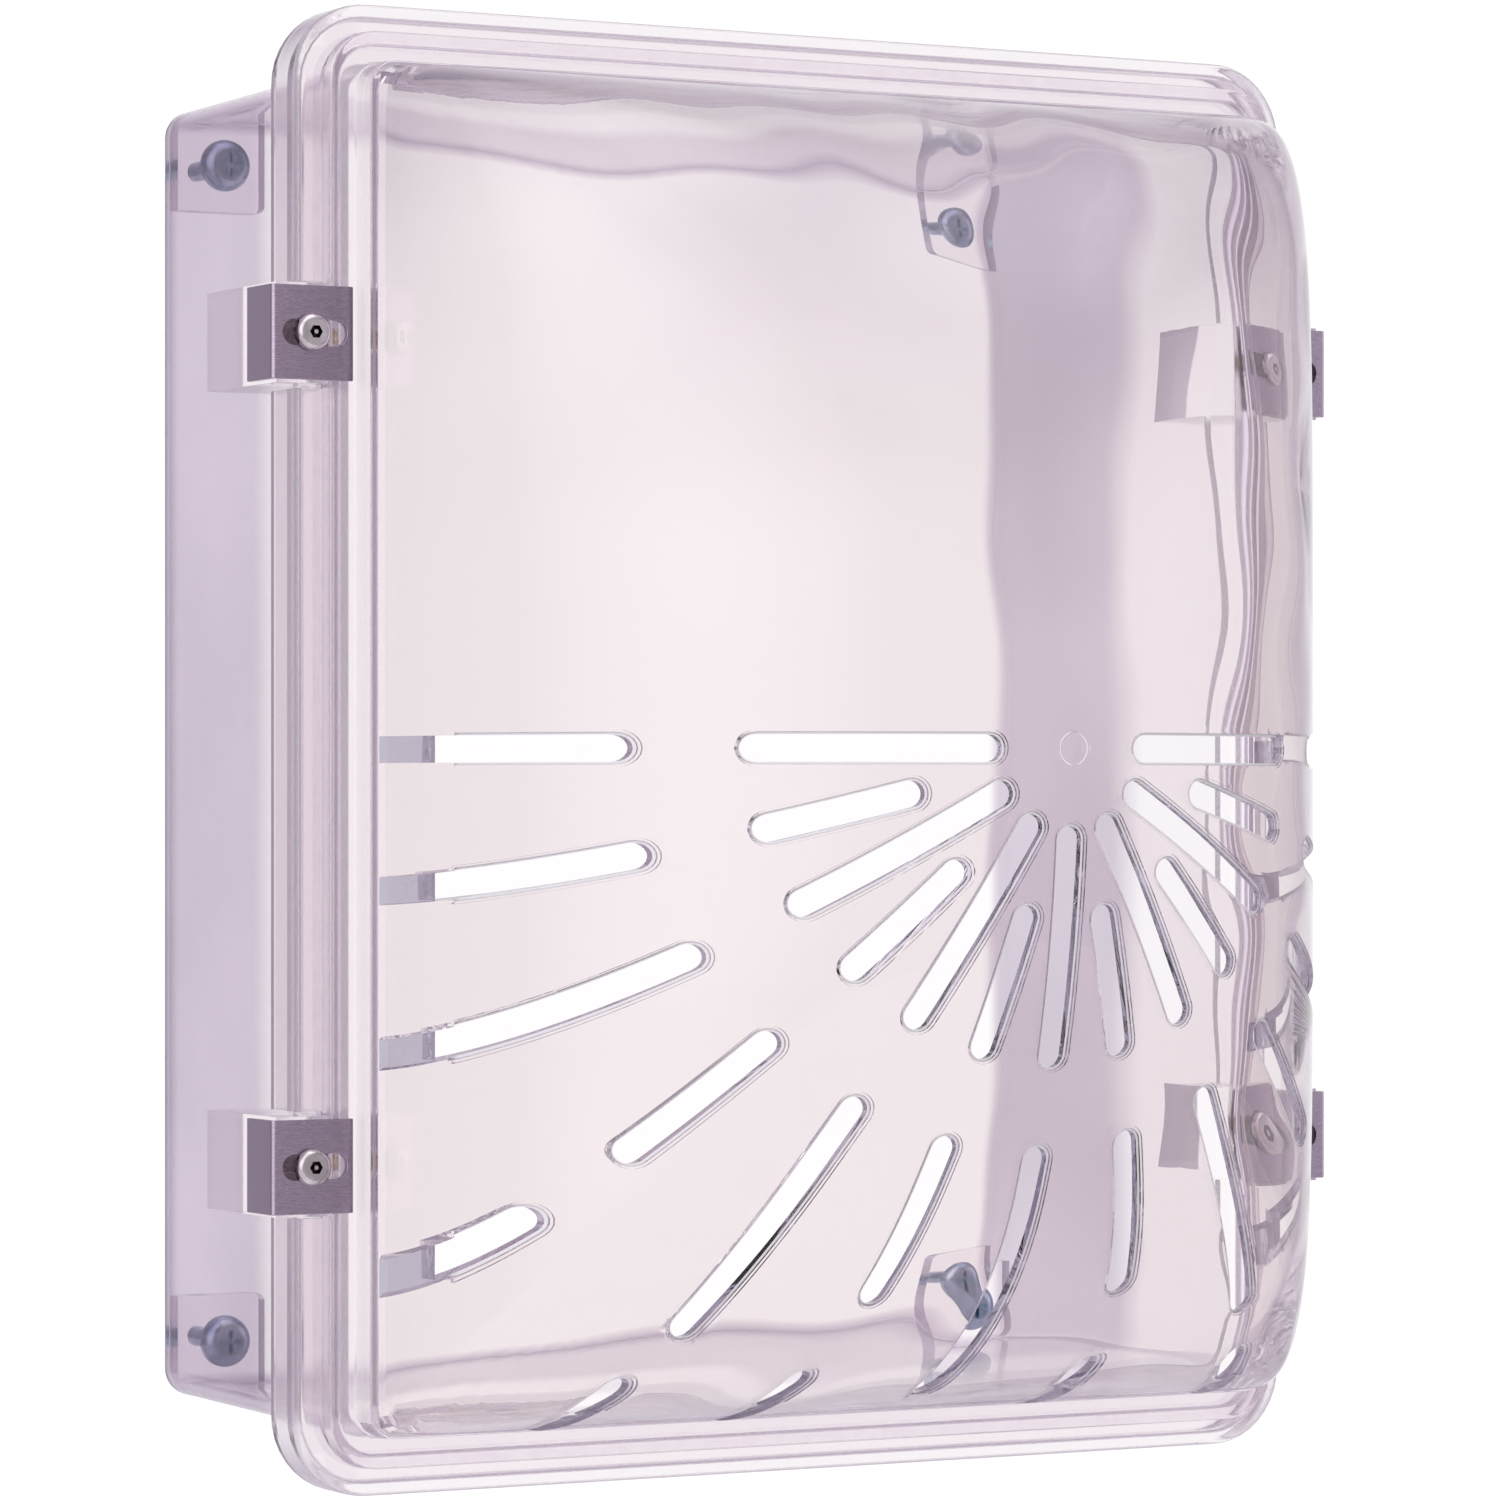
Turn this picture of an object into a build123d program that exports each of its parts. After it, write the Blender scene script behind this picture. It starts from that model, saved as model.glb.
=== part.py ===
from build123d import *
import math
import os

os.makedirs("parts", exist_ok=True)

# Clear protective cover for a wall-mounted device.
# Frame: +Z up, +X to the right seen from the front, the front faces -Y.
# The origin is the centre of the rear face, which lies on the wall (Y = 0).
# "h" below is the distance forward of the wall plane, so Y = -h.

# ---- driving dimensions (mm) ----
WALL = 3.2             # moulding thickness of the front cover
COVER_W, COVER_H = 319.0, 405.0
COVER_R = 22.0         # corner radius of the skirt
H_SKIRT = 113.0        # rear lip of the skirt
H_RIM = 129.0          # front face of the outer rim band
H_BAND = 135.5         # front face of the inner rim band
H_PLINTH = 145.0       # top of the plinth that the dome rises from
BAND_W, BAND_H, BAND_R = 303.0, 389.0, 14.0
PLINTH_W, PLINTH_H, PLINTH_R = 289.0, 371.0, 7.0
H_APEX = 269.0         # front of the dome

DOME_R = 143.5         # radius of the dome's horizontal section
DOME_RV = 336.0        # radius of the flat part of its vertical section
DOME_RK = 105.0        # knuckle radius of its vertical section
DOME_VK = 79.0         # height of the knuckle's centre above the middle
DOME_DROP = 124.0      # from the apex down to the plinth

SLOT_W = 7.2           # width of the sound slots
SLOT_U = 136.0         # beyond this the slots are only recesses
SLOT_V = 177.5

BOX_WALL = 3.0
BOX_W0, BOX_H0 = 285.2, 371.2   # rear outline of the tray
BOX_W1, BOX_H1 = 288.0, 374.0   # front outline of the tray
BOX_R = 8.0
H_FLANGE0, H_FLANGE = 119.8, 122.8
FLANGE_W, FLANGE_H, FLANGE_R = 311.6, 397.6, 18.3

CLIP_Z = 112.0         # height of the clips above and below the middle
CLIP_HIGH = 25.4
CLIP_T = 1.7
CLIP_X0, CLIP_X1 = 146.0, 170.0
CLIP_H0 = 121.0
CLIP_H1 = 137.3
EAR_X1, EAR_HIGH = 167.9, 27.0
EAR_H0, EAR_H1 = 90.0, 135.4
SCREW_X = 158.5
SCREW_R = 2.5
CLIP_SLOT_X, CLIP_SLOT_L, CLIP_SLOT_W = 157.3, 19.0, 7.0

MOUNT_X, MOUNT_Z = 125.0, 170.0   # the four wall screws
MOUNT_R, MOUNT_HOLE_R = 2.9, 3.25
MOUNT_OUT = 14.0       # how far the screws stand out behind the rear face
MOUNT_SHANK_R = 3.1             # plain shank inside the rear wall and the corner pad
HEAD_R, HEAD_T = 7.5, 4.6
BLOCK_X0, BLOCK_Z0, BLOCK_H1 = 112.0, 156.5, 9.0


# ---- the dome: level curves of a soft minimum of two section curves ----
def u_of(drop, inset):
    r = DOME_R - inset
    return math.sqrt(max(0.0, r * r - (r - drop) ** 2))


def v_of(drop, inset):
    big, small = DOME_RV - inset, DOME_RK - inset
    gap = DOME_RV - DOME_RK
    zc = math.sqrt(gap ** 2 - DOME_VK ** 2)      # knuckle centre above the big centre
    q = big - drop
    if q >= big * zc / gap:
        return math.sqrt(max(0.0, big * big - q * q))
    if q >= zc:
        return DOME_VK + math.sqrt(max(0.0, small * small - (q - zc) ** 2))
    return DOME_VK + small


def level_curve(drop, inset, per_quarter=17, n=600):
    k = 1.3 + 5.0 * (drop / DOME_DROP) ** 2
    pts = []
    for i in range(n + 1):
        a = math.pi / 2 * i / n
        cu = math.cos(a) ** (2 / k) if i < n else 0.0
        sv = math.sin(a) ** (2 / k) if i > 0 else 0.0
        pts.append((u_of(drop * cu, inset), v_of(drop * sv, inset)))
    run = [0.0]
    for i in range(n):
        run.append(run[-1] + math.dist(pts[i], pts[i + 1]))
    quarter, i = [], 0
    for j in range(per_quarter):
        t = run[-1] * j / (per_quarter - 1)
        while i < n - 1 and run[i + 1] < t:
            i += 1
        f = (t - run[i]) / max(1e-9, run[i + 1] - run[i])
        quarter.append((pts[i][0] + f * (pts[i + 1][0] - pts[i][0]),
                        pts[i][1] + f * (pts[i + 1][1] - pts[i][1])))
    back = list(reversed(quarter))
    return (quarter[:-1] + [(-x, y) for x, y in back][:-1]
            + [(-x, -y) for x, y in quarter][:-1] + [(x, -y) for x, y in back][:-1])


def dome_solid(inset):
    with BuildPart() as dome:
        for drop in (124, 116, 104, 88, 70, 52, 36, 22, 12, 5, 1.2, 0.25):
            with BuildSketch(Plane.XZ.offset(H_APEX - inset - drop)):
                with BuildLine():
                    Spline(*level_curve(drop, inset), periodic=True)
                make_face()
        loft()
    return dome.part


dome_outer = dome_solid(0.0)
dome_mid = dome_solid(WALL / 2)
dome_inner = dome_solid(WALL)

# rays of slots below the middle: (angle, start, end) from the dome's centre
rays = []
for a in (180, 210, 240, 270, 300, 330, 360):
    rays.append((a, 20.3, 84.2))
for a in (195, 225, 255, 285, 315, 345):
    rays.append((a, 42.5, 84.2))
for a in (180, 195, 210, 330, 345, 360):
    rays.append((a, 105.3, 185.0))
for a in (225, 255, 285, 315):
    rays.append((a, 105.3, 151.9))
for a in (240, 300):
    rays.append((a, 105.3, 178.2))
rays.append((270, 105.3, 175.8))
for a in (225, 315):
    rays.append((a, 171.7, 230.0))
for a in (240, 300):
    rays.append((a, 192.4, 240.0))
for a in (255, 285):
    rays.append((a, 172.1, 230.0))


def slot_prism(through):
    with BuildPart() as prism:
        with BuildSketch(Plane.XZ.offset(H_PLINTH + 0.4)):
            for a, r0, r1 in rays:
                c, s = math.cos(math.radians(a)), math.sin(math.radians(a))
                m = (r0 + r1) / 2
                with Locations(Location((m * c, m * s, 0), (0, 0, a))):
                    SlotOverall(r1 - r0, SLOT_W)
            if through:
                Rectangle(2 * SLOT_U, 2 * SLOT_V, mode=Mode.INTERSECT)
            else:
                Rectangle(2 * DOME_R + 0.4, 2 * (DOME_VK + DOME_RK) + 0.4, mode=Mode.INTERSECT)
        extrude(amount=130)
    return prism.part


through_slots = slot_prism(True)
recess_prism = slot_prism(False)
with BuildPart() as recesses:
    add(recess_prism)
    add(dome_mid, mode=Mode.SUBTRACT)

# ---- front cover ----
with BuildPart() as cover:
    with BuildSketch(Plane.XZ.offset(H_SKIRT)):
        RectangleRounded(COVER_W, COVER_H, COVER_R)
    extrude(amount=H_RIM - H_SKIRT)
    fillet(cover.faces().sort_by(Axis.Y)[0].edges(), radius=2.5)
    with BuildSketch(Plane.XZ.offset(H_RIM - 0.5)):
        RectangleRounded(BAND_W, BAND_H, BAND_R)
    extrude(amount=H_BAND - H_RIM + 0.5)
    fillet(cover.faces().sort_by(Axis.Y)[0].edges(), radius=1.0)
    with BuildSketch(Plane.XZ.offset(H_BAND - 0.5)):
        RectangleRounded(PLINTH_W, PLINTH_H, PLINTH_R)
    extrude(amount=H_PLINTH - H_BAND + 0.5)
    # hollow behind the rim, the band and the plinth
    with BuildSketch(Plane.XZ.offset(H_SKIRT)):
        RectangleRounded(COVER_W - 2 * WALL, COVER_H - 2 * WALL, COVER_R - WALL)
    extrude(amount=H_RIM - WALL - H_SKIRT, mode=Mode.SUBTRACT)
    with BuildSketch(Plane.XZ.offset(H_RIM - WALL - 0.5)):
        RectangleRounded(BAND_W - 2 * WALL, BAND_H - 2 * WALL, BAND_R - WALL)
    extrude(amount=H_BAND - H_RIM + 0.5, mode=Mode.SUBTRACT)
    # dome
    add(dome_outer)
    with BuildSketch(Plane.XZ.offset(H_APEX - 2)):
        Circle(4.25)
    extrude(amount=2.2)
    with BuildSketch(Plane.XZ.offset(H_BAND - WALL - 0.5)):
        RectangleRounded(PLINTH_W - 2 * WALL, PLINTH_H - 2 * WALL, PLINTH_R - WALL)
    extrude(amount=H_PLINTH - H_BAND + 0.5, mode=Mode.SUBTRACT)
    add(dome_inner, mode=Mode.SUBTRACT)
    add(through_slots, mode=Mode.SUBTRACT)
    add(recesses.part, mode=Mode.SUBTRACT)
    # notches that clear the four ears of the tray
    for sx in (-1, 1):
        for sz in (-1, 1):
            with BuildSketch(Plane.XZ.offset(H_SKIRT - 1)):
                with Locations((sx * (BAND_W / 2 + 6), sz * CLIP_Z)):
                    Rectangle(12, EAR_HIGH + 2)
            extrude(amount=H_RIM - H_SKIRT + 2, mode=Mode.SUBTRACT)
cover.part.label = "cover"


# ---- tray behind the cover ----
def tray_cavity(clear):
    with BuildPart() as cavity:
        with BuildSketch(Plane.XZ.offset(BOX_WALL + clear)):
            RectangleRounded(BOX_W0 - 2 * BOX_WALL - 2 * clear, BOX_H0 - 2 * BOX_WALL - 2 * clear, BOX_R - BOX_WALL)
        with BuildSketch(Plane.XZ.offset(H_FLANGE + 1)):
            RectangleRounded(BOX_W1 - 2 * BOX_WALL - 2 * clear, BOX_H1 - 2 * BOX_WALL - 2 * clear, BOX_R - BOX_WALL)
        loft()
    return cavity.part


cavity_full = tray_cavity(0.0)
cavity_fit = tray_cavity(0.05)

with BuildPart() as back_box:
    with BuildSketch(Plane.XZ):
        RectangleRounded(BOX_W0, BOX_H0, BOX_R)
    with BuildSketch(Plane.XZ.offset(H_FLANGE)):
        RectangleRounded(BOX_W1, BOX_H1, BOX_R)
    loft()
    fillet(back_box.faces().sort_by(Axis.Y)[-1].edges(), radius=3.5)
    with BuildSketch(Plane.XZ.offset(H_FLANGE0)):
        RectangleRounded(FLANGE_W, FLANGE_H, FLANGE_R)
    extrude(amount=H_FLANGE - H_FLANGE0)
    for sx in (-1, 1):
        for sz in (-1, 1):
            with BuildSketch(Plane.XZ.offset(EAR_H0)):
                with Locations((sx * (142.0 + EAR_X1) / 2, sz * CLIP_Z)):
                    Rectangle(EAR_X1 - 142.0, EAR_HIGH)
            extrude(amount=H_FLANGE - EAR_H0)
            with BuildSketch(Plane.XZ.offset(H_FLANGE - 1)):
                with Locations((sx * (152.6 + EAR_X1) / 2, sz * CLIP_Z)):
                    Rectangle(EAR_X1 - 152.6, EAR_HIGH)
            extrude(amount=EAR_H1 - H_FLANGE + 1)
    add(cavity_full, mode=Mode.SUBTRACT)
    # seats of the clip inserts, open at the front of each ear
    with BuildSketch(Plane.XZ.offset(EAR_H1 - 14)):
        with Locations((SCREW_X, CLIP_Z), (-SCREW_X, CLIP_Z), (SCREW_X, -CLIP_Z), (-SCREW_X, -CLIP_Z)):
            Circle(4.0)
    extrude(amount=20, mode=Mode.SUBTRACT)
    # holes for the wall screws
    with BuildSketch(Plane.XZ.offset(-1)):
        with Locations((MOUNT_X, MOUNT_Z), (-MOUNT_X, MOUNT_Z), (MOUNT_X, -MOUNT_Z), (-MOUNT_X, -MOUNT_Z)):
            Circle(MOUNT_HOLE_R)
    extrude(amount=6, mode=Mode.SUBTRACT)
back_box.part.label = "back_box"

# ---- gasket between the tray's flange and the band of the cover ----
with BuildPart() as cover_gasket:
    with BuildSketch(Plane.XZ.offset(H_FLANGE)):
        RectangleRounded(BAND_W + 0.8, BAND_H + 0.8, BAND_R + 0.4)
        RectangleRounded(BAND_W - 2 * WALL - 1.8, BAND_H - 2 * WALL - 1.8, BAND_R - WALL - 0.9, mode=Mode.SUBTRACT)
    extrude(amount=H_RIM - WALL - H_FLANGE)
cover_gasket.part.label = "cover_gasket"

# ---- clip, screw and insert of the upper right ear ----
with BuildPart() as clip:
    with BuildSketch(Plane.XY.offset(CLIP_Z - CLIP_HIGH / 2)):
        with BuildLine():
            Polyline((CLIP_X0, -CLIP_H1), (CLIP_X1, -CLIP_H1), (CLIP_X1, -CLIP_H0),
                     (CLIP_X1 - CLIP_T, -CLIP_H0), (CLIP_X1 - CLIP_T, -CLIP_H1 + CLIP_T),
                     (CLIP_X0, -CLIP_H1 + CLIP_T), close=True)
        make_face()
    extrude(amount=CLIP_HIGH)
    fillet(clip.edges().filter_by(Axis.Z).filter_by_position(Axis.X, CLIP_X1 - 0.1, CLIP_X1 + 0.1)
           .filter_by_position(Axis.Y, -CLIP_H1 - 0.1, -CLIP_H1 + 0.1), radius=1.3)
    with BuildSketch(Plane.XZ.offset(CLIP_H1 - CLIP_T - 1)):
        with Locations((CLIP_SLOT_X, CLIP_Z)):
            SlotOverall(CLIP_SLOT_L, CLIP_SLOT_W)
    extrude(amount=CLIP_T + 2, mode=Mode.SUBTRACT)

with BuildPart() as clip_screw:
    with BuildSketch(Plane.XZ.offset(H_FLANGE)):
        with Locations((SCREW_X, CLIP_Z)):
            Circle(SCREW_R)
    extrude(amount=CLIP_H1 + 0.1 - H_FLANGE)
    with BuildSketch(Plane.XZ.offset(CLIP_H1 + 0.1)):
        with Locations((SCREW_X, CLIP_Z)):
            Circle(5.0)
    extrude(amount=3.3)
    fillet(clip_screw.faces().sort_by(Axis.Y)[0].edges(), radius=1.6)
    with BuildSketch(Plane.XZ.offset(CLIP_H1 + 1.4)):
        with Locations((SCREW_X, CLIP_Z)):
            RegularPolygon(1.9, 6)
            Circle(0.6, mode=Mode.SUBTRACT)
    extrude(amount=4, mode=Mode.SUBTRACT)

with BuildPart() as clip_insert:
    with BuildSketch(Plane.XZ.offset(EAR_H1 - 13.8)):
        with Locations((SCREW_X, CLIP_Z)):
            Circle(3.98)
            Circle(SCREW_R + 0.05, mode=Mode.SUBTRACT)
    extrude(amount=13.8)

# ---- wall screw and its corner pad, upper right ----
with BuildPart() as mount_screw:
    with BuildSketch(Plane.XZ.offset(-MOUNT_OUT)):
        with Locations((MOUNT_X, MOUNT_Z)):
            Circle(MOUNT_R)
    extrude(amount=MOUNT_OUT)
    chamfer(mount_screw.faces().sort_by(Axis.Y)[-1].edges(), length=1.2)
    with BuildSketch(Plane.XZ.offset(0)):
        with Locations((MOUNT_X, MOUNT_Z)):
            Circle(MOUNT_SHANK_R)
    extrude(amount=BLOCK_H1)
    with BuildSketch(Plane.XZ.offset(BLOCK_H1)):
        with Locations((MOUNT_X, MOUNT_Z)):
            Circle(HEAD_R)
    extrude(amount=HEAD_T)
    fillet(mount_screw.faces().sort_by(Axis.Y)[0].edges(), radius=3.8)
    with BuildSketch(Plane.XZ.offset(BLOCK_H1 + 2.2)):
        with Locations((MOUNT_X, MOUNT_Z)):
            Rectangle(6.8, 1.3)
            Rectangle(1.3, 6.8)
    extrude(amount=4, mode=Mode.SUBTRACT)

with BuildPart() as corner_block:
    with BuildSketch(Plane.XZ.offset(BOX_WALL + 0.05)):
        with Locations(((BLOCK_X0 + 146) / 2, (BLOCK_Z0 + 190) / 2)):
            Rectangle(146 - BLOCK_X0, 190 - BLOCK_Z0)
    extrude(amount=BLOCK_H1 - BOX_WALL - 0.05)
    fillet(corner_block.edges().filter_by(Axis.Y).group_by(Axis.X)[0].group_by(Axis.Z)[0], radius=2.5)
    add(cavity_fit, mode=Mode.INTERSECT)
    with BuildSketch(Plane.XZ.offset(0)):
        with Locations((MOUNT_X, MOUNT_Z)):
            Circle(MOUNT_HOLE_R)
    extrude(amount=20, mode=Mode.SUBTRACT)


# ---- the four corners are mirror images of the upper right one ----
def place(part, right, upper):
    with BuildPart() as placed:
        p = part
        if not right:
            p = mirror(p, about=Plane.YZ, mode=Mode.PRIVATE)
        if not upper:
            p = mirror(p, about=Plane.XY, mode=Mode.PRIVATE)
        add(p)
    return placed.part


for side, right in (("left", False), ("right", True)):
    for level, upper in (("upper", True), ("lower", False)):
        for name, source in (("clip", clip), ("clip_screw", clip_screw), ("clip_insert", clip_insert),
                             ("mount_screw", mount_screw), ("corner_block", corner_block)):
            piece = place(source.part, right, upper)
            piece.label = "%s_%s_%s" % (name, side, level)
            export_step(piece, "parts/%s.step" % piece.label)

export_step(cover.part, "parts/cover.step")
export_step(back_box.part, "parts/back_box.step")
export_step(cover_gasket.part, "parts/cover_gasket.step")
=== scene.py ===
import math

import bmesh
import bpy
from mathutils import Matrix, Vector


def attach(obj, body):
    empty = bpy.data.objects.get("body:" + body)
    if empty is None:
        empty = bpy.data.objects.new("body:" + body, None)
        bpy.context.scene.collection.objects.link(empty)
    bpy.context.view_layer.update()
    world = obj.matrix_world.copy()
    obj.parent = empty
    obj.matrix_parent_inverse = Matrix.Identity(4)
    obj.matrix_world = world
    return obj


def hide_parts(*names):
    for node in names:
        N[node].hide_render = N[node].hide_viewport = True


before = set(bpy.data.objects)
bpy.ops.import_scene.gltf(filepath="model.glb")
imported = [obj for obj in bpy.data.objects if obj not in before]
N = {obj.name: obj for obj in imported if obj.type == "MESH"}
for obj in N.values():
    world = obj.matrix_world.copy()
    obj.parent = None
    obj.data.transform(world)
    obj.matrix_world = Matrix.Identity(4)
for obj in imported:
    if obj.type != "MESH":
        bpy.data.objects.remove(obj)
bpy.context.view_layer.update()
MM = 0.001

# ------------------------------------------------------------------
# Dimensions of the clear cover, the same as the CAD's (mm)
# ------------------------------------------------------------------
WALL = 3.2
H_SKIRT, H_RIM, H_BAND, H_PLINTH, H_APEX = 113.0, 129.0, 135.5, 145.0, 269.0
DOME_R, DOME_RV, DOME_RK, DOME_VK, DOME_DROP = 143.5, 336.0, 105.0, 79.0, 124.0
SLOT_W, SLOT_U, SLOT_V = 7.2, 136.0, 177.5
PER_Q = 96            # points in a quarter turn of every loop


# ------------------------------------------------------------------
# Materials
# ------------------------------------------------------------------
def new_mat(name):
    m = bpy.data.materials.new(name)
    m.use_nodes = True
    nt = m.node_tree
    for n in list(nt.nodes):
        nt.nodes.remove(n)
    out = nt.nodes.new("ShaderNodeOutputMaterial")
    b = nt.nodes.new("ShaderNodeBsdfPrincipled")
    nt.links.new(b.outputs["BSDF"], out.inputs["Surface"])
    return m, nt, b, out


def noise(nt, scale, detail=3.0, rough=0.5, stretch=None):
    tc = nt.nodes.new("ShaderNodeTexCoord")
    n = nt.nodes.new("ShaderNodeTexNoise")
    n.inputs["Scale"].default_value = scale
    n.inputs["Detail"].default_value = detail
    n.inputs["Roughness"].default_value = rough
    if stretch:
        mp = nt.nodes.new("ShaderNodeMapping")
        mp.inputs["Scale"].default_value = stretch
        nt.links.new(tc.outputs["Object"], mp.inputs["Vector"])
        nt.links.new(mp.outputs["Vector"], n.inputs["Vector"])
    else:
        nt.links.new(tc.outputs["Object"], n.inputs["Vector"])
    return n


def ramp(nt, src, stops):
    r = nt.nodes.new("ShaderNodeValToRGB")
    el = r.color_ramp.elements
    while len(el) < len(stops):
        el.new(0.5)
    for e, (p, c) in zip(el, stops):
        e.position = p
        e.color = (*c, 1) if len(c) == 3 else c
    nt.links.new(src, r.inputs["Fac"])
    return r


def bump(nt, b, src, strength, distance, prev=None):
    bp = nt.nodes.new("ShaderNodeBump")
    bp.inputs["Strength"].default_value = strength
    bp.inputs["Distance"].default_value = distance
    nt.links.new(src, bp.inputs["Height"])
    if prev:
        nt.links.new(prev.outputs["Normal"], bp.inputs["Normal"])
    nt.links.new(bp.outputs["Normal"], b.inputs["Normal"])
    return bp


def clear_plastic(name, tint, ior=1.48, absorb=(0.50, 0.44, 0.56), density=0.0, wave=0.15, wave_scale=14.0, haze=0.02):
    m, nt, b, out = new_mat(name)
    b.inputs["Base Color"].default_value = (*tint, 1)
    b.inputs["Transmission Weight"].default_value = 1.0
    b.inputs["IOR"].default_value = ior
    # faint haze and rub marks
    n = noise(nt, 55.0, 4.0, 0.6)
    r = nt.nodes.new("ShaderNodeMapRange")
    r.inputs["From Min"].default_value = 0.45
    r.inputs["From Max"].default_value = 0.75
    r.inputs["To Min"].default_value = 0.0
    r.inputs["To Max"].default_value = haze
    nt.links.new(n.outputs["Fac"], r.inputs["Value"])
    nt.links.new(r.outputs["Result"], b.inputs["Roughness"])
    # slow flow waves of the moulding
    w = noise(nt, wave_scale, 2.0, 0.4)
    bump(nt, b, w.outputs["Fac"], wave, 0.002)
    if density:
        v = nt.nodes.new("ShaderNodeVolumeAbsorption")
        v.inputs["Color"].default_value = (*absorb, 1)
        v.inputs["Density"].default_value = density
        nt.links.new(v.outputs["Volume"], out.inputs["Volume"])
    return m


def brushed(name, dark, light, rough, stretch, scale=900.0, aniso=0.5, bump_s=0.06):
    m, nt, b, out = new_mat(name)
    b.inputs["Metallic"].default_value = 1.0
    b.inputs["Anisotropic"].default_value = aniso
    n = noise(nt, scale, 4.0, 0.6, stretch)
    r = ramp(nt, n.outputs["Fac"], [(0.3, dark), (0.72, light)])
    nt.links.new(r.outputs["Color"], b.inputs["Base Color"])
    rr = nt.nodes.new("ShaderNodeMapRange")
    rr.inputs["To Min"].default_value = rough * 0.75
    rr.inputs["To Max"].default_value = rough * 1.3
    nt.links.new(n.outputs["Fac"], rr.inputs["Value"])
    nt.links.new(rr.outputs["Result"], b.inputs["Roughness"])
    bump(nt, b, n.outputs["Fac"], bump_s, 0.0002)
    return m


def plated(name, c0, c1, rough):
    m, nt, b, out = new_mat(name)
    b.inputs["Metallic"].default_value = 1.0
    n = noise(nt, 160.0, 3.0, 0.5)
    r = ramp(nt, n.outputs["Fac"], [(0.35, c0), (0.68, c1)])
    nt.links.new(r.outputs["Color"], b.inputs["Base Color"])
    f = noise(nt, 1500.0, 2.0, 0.5)
    rr = nt.nodes.new("ShaderNodeMapRange")
    rr.inputs["To Min"].default_value = rough * 0.7
    rr.inputs["To Max"].default_value = rough * 1.4
    nt.links.new(f.outputs["Fac"], rr.inputs["Value"])
    nt.links.new(rr.outputs["Result"], b.inputs["Roughness"])
    bump(nt, b, f.outputs["Fac"], 0.08, 0.0001)
    return m


def node(nt, kind, **values):
    n = nt.nodes.new(kind)
    for k, v in values.items():
        if k == "operation":
            n.operation = v
        else:
            n.inputs[k].default_value = v
    return n


def xyz(nt):
    tc = nt.nodes.new("ShaderNodeTexCoord")
    sp = nt.nodes.new("ShaderNodeSeparateXYZ")
    nt.links.new(tc.outputs["Object"], sp.inputs["Vector"])
    return sp


def calc(nt, op, *src):
    n = nt.nodes.new("ShaderNodeMath")
    n.operation = op
    for i, v in enumerate(src):
        if isinstance(v, (int, float)):
            n.inputs[i].default_value = v
        else:
            nt.links.new(v, n.inputs[i])
    return n.outputs[0]


def step_up(nt, src, lo, hi):
    """0 below lo, 1 above hi."""
    mr = nt.nodes.new("ShaderNodeMapRange")
    mr.interpolation_type = "SMOOTHSTEP"
    mr.inputs["From Min"].default_value = lo
    mr.inputs["From Max"].default_value = hi
    nt.links.new(src, mr.inputs["Value"])
    return mr.outputs["Result"]


def mix_colour(nt, fac, c1, c2):
    mix = nt.nodes.new("ShaderNodeMixRGB")
    nt.links.new(fac, mix.inputs["Fac"])
    for key, c in (("Color1", c1), ("Color2", c2)):
        if isinstance(c, tuple):
            mix.inputs[key].default_value = (*c, 1)
        else:
            nt.links.new(c, mix.inputs[key])
    return mix.outputs["Color"]


def shader_of(mat):
    return next(n for n in mat.node_tree.nodes if n.type == "BSDF_PRINCIPLED")


M_COVER = clear_plastic("cover_clear", (0.93, 0.90, 0.915), wave=0.0)
# painted shade: the recess faces in the dome's foot are coloured dark grey-violet
M_RECESS_SHADE = clear_plastic("cover_recess_shade", (0.33, 0.31, 0.41), wave=0.35, wave_scale=120.0, haze=0.35)
M_RIM = clear_plastic("cover_rim", (0.90, 0.86, 0.89), ior=1.32, wave=0.04, wave_scale=30.0, haze=0.05)
# painted shade: the slot walls are coloured dark grey-violet
M_SLOT_SHADE = clear_plastic("cover_slot_edge_shade", (0.42, 0.385, 0.48), ior=1.48, wave=0.06, wave_scale=90.0, haze=0.12)
M_TRAY = clear_plastic("tray_clear", (0.965, 0.930, 0.955), ior=1.30, wave=0.02, wave_scale=7.0)


def cloud_cover(mat):
    """The dome's colour goes greyer in slow clouds, more so towards its top edge."""
    nt = mat.node_tree
    n = noise(nt, 8.0, 2.0, 0.45)
    r = ramp(nt, n.outputs["Fac"], [(0.34, (0.66, 0.605, 0.66)), (0.54, (0.80, 0.745, 0.775)), (0.72, (0.90, 0.855, 0.868))])
    sp = xyz(nt)
    fac = step_up(nt, sp.outputs["Z"], 0.165, 0.045)
    col = mix_colour(nt, fac, r.outputs["Color"], (0.878, 0.822, 0.832))
    # seen at a slant, the path through the wall is longer and the tint deeper; the strong darkening is also painted
    # shade for the dark edge bands of internal reflection
    lw = nt.nodes.new("ShaderNodeLayerWeight")
    lw.inputs["Blend"].default_value = 0.5
    col = mix_colour(nt, step_up(nt, lw.outputs["Facing"], 0.64, 0.94), col, (0.27, 0.225, 0.32))
    nt.links.new(col, shader_of(mat).inputs["Base Color"])


def deepen(mat, col, slant, lo, hi):
    """Seen at a slant, the path through the wall is longer and the tint deeper; the strong darkening is also painted
    shade for the dark edge bands of internal reflection.
    """
    nt = mat.node_tree
    lw = nt.nodes.new("ShaderNodeLayerWeight")
    lw.inputs["Blend"].default_value = 0.5
    tone = noise(nt, 40.0, 2.0, 0.5)
    deep = ramp(nt, tone.outputs["Fac"], [(0.3, slant), (0.7, tuple(min(1.0, c * 1.15) for c in slant))])
    out = mix_colour(nt, step_up(nt, lw.outputs["Facing"], lo, hi), col, deep.outputs["Color"])
    nt.links.new(out, shader_of(mat).inputs["Base Color"])


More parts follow.
